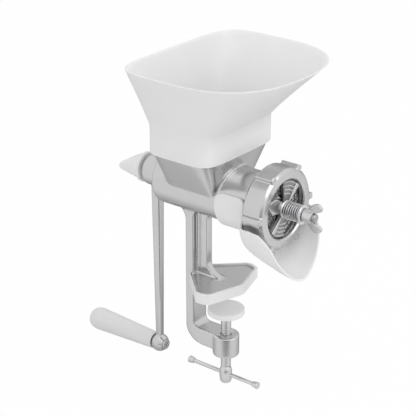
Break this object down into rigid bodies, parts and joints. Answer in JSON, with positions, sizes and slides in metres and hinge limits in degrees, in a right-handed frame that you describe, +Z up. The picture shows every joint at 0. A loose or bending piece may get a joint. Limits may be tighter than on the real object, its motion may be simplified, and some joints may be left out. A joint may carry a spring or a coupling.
{
  "type": "hand crank grain mill",
  "caption": "Table-clamped hand grain mill: plastic hopper, cast body with feed screw and burrs, lugged ring nut, sprung adjuster, clip-on chute, crank and screw clamp",
  "frame": {"origin": "on the clamp screw's axis, in the underside of the upper jaw, where the mill rests on the table", "axes": "+X along the barrel towards the outlet, +Z up, Y = 0 the mirror plane of the casting"},
  "size_m": [0.2819, 0.171, 0.331],
  "materials": {
    "tinned_casting": "tinned, satin",
    "white_plastic": "satin moulded",
    "grip_plastic": "satin moulded",
    "zinc_steel": "zinc plated",
    "spring_steel": "bright drawn",
    "burr_iron": "ground",
    "bearing_bronze": "turned"
  },
  "bodies": {
    "mill_frame": {"mill_body": "tinned_casting", "rear_bush": "bearing_bronze", "fixed_burr": "burr_iron", "burr_dowels": "zinc_steel", "jaw_shoe": "white_plastic"},
    "hopper": {"hopper": "white_plastic"},
    "chute": {"chute": "white_plastic"},
    "ring_nut": {"ring_nut": "tinned_casting"},
    "rotor": {"main_shaft": "zinc_steel", "feed_screw": "tinned_casting", "screw_cross_pin": "zinc_steel", "thrust_washer": "bearing_bronze", "crank_arm": "tinned_casting", "hub_washer": "zinc_steel", "grip_spindle": "zinc_steel", "grip_washer": "zinc_steel", "adjusting_spring": "spring_steel"},
    "turning_burr": {"rotating_burr": "burr_iron"},
    "adjuster": {"spring_cup": "zinc_steel"},
    "wing_nut": {"wing_nut": "zinc_steel"},
    "crank_screw": {"crank_screw_stud": "zinc_steel", "crank_screw_wing": "white_plastic"},
    "grip": {"handle_grip": "grip_plastic", "grip_plug": "grip_plastic"},
    "clamp_pad": {"pad_disc": "white_plastic", "pad_socket": "zinc_steel"},
    "clamp_screw": {"clamp_screw": "zinc_steel"},
    "tommy_bar": {"tommy_bar": "zinc_steel", "bar_caps": "zinc_steel"}
  },
  "joints": [
    {"name": "hopper_lift", "type": "slide", "parent": "mill_frame", "child": "hopper", "axis": [0, 0, 1], "range_m": [0, 0.06]},
    {"name": "chute_swivel", "type": "hinge", "parent": "mill_frame", "child": "chute", "pos_m": [0, 0, 0.101], "axis": [1, 0, 0], "range_deg": [-10, 10]},
    {"name": "ring_nut_turn", "type": "hinge", "parent": "mill_frame", "child": "ring_nut", "pos_m": [0, 0, 0.101], "axis": [1, 0, 0], "range_deg": [0, 120]},
    {"name": "crank_turn", "type": "hinge", "parent": "mill_frame", "child": "rotor", "pos_m": [0, 0, 0.101], "axis": [1, 0, 0], "continuous": true},
    {"name": "burr_float", "type": "slide", "parent": "rotor", "child": "turning_burr", "axis": [1, 0, 0], "range_m": [0, 0.0015], "stiffness_N_per_m": 2000, "springref_m": -0.004, "deforming": ["adjusting_spring"]},
    {"name": "adjuster_travel", "type": "slide", "parent": "rotor", "child": "adjuster", "axis": [1, 0, 0], "range_m": [-0.004, 0], "deforming": ["adjusting_spring"]},
    {"name": "wing_nut_turn", "type": "hinge", "parent": "adjuster", "child": "wing_nut", "pos_m": [0, 0, 0.101], "axis": [1, 0, 0], "range_deg": [-1152, 0]},
    {"name": "crank_screw_turn", "type": "hinge", "parent": "rotor", "child": "crank_screw", "pos_m": [0, 0, 0.101], "axis": [1, 0, 0], "range_deg": [-180, 0]},
    {"name": "grip_spin", "type": "hinge", "parent": "rotor", "child": "grip", "pos_m": [0, 0, -0.088], "axis": [1, 0, 0], "continuous": true},
    {"name": "clamp_travel", "type": "slide", "parent": "mill_frame", "child": "clamp_pad", "axis": [0, 0, 1], "range_m": [-0.01575, 0.01225]},
    {"name": "clamp_turn", "type": "hinge", "parent": "clamp_pad", "child": "clamp_screw", "pos_m": [0, 0, -0.06], "axis": [0, 0, 1], "range_deg": [-3240, 2520]},
    {"name": "tommy_slide", "type": "slide", "parent": "clamp_screw", "child": "tommy_bar", "axis": [1, 0, 0], "range_m": [-0.026, 0.032]}
  ],
  "couplings": [
    {"joint": "adjuster_travel", "follows": "wing_nut_turn", "m_per_rad": 0.00019894},
    {"joint": "clamp_travel", "follows": "clamp_turn", "m_per_rad": 0.00027852}
  ]
}
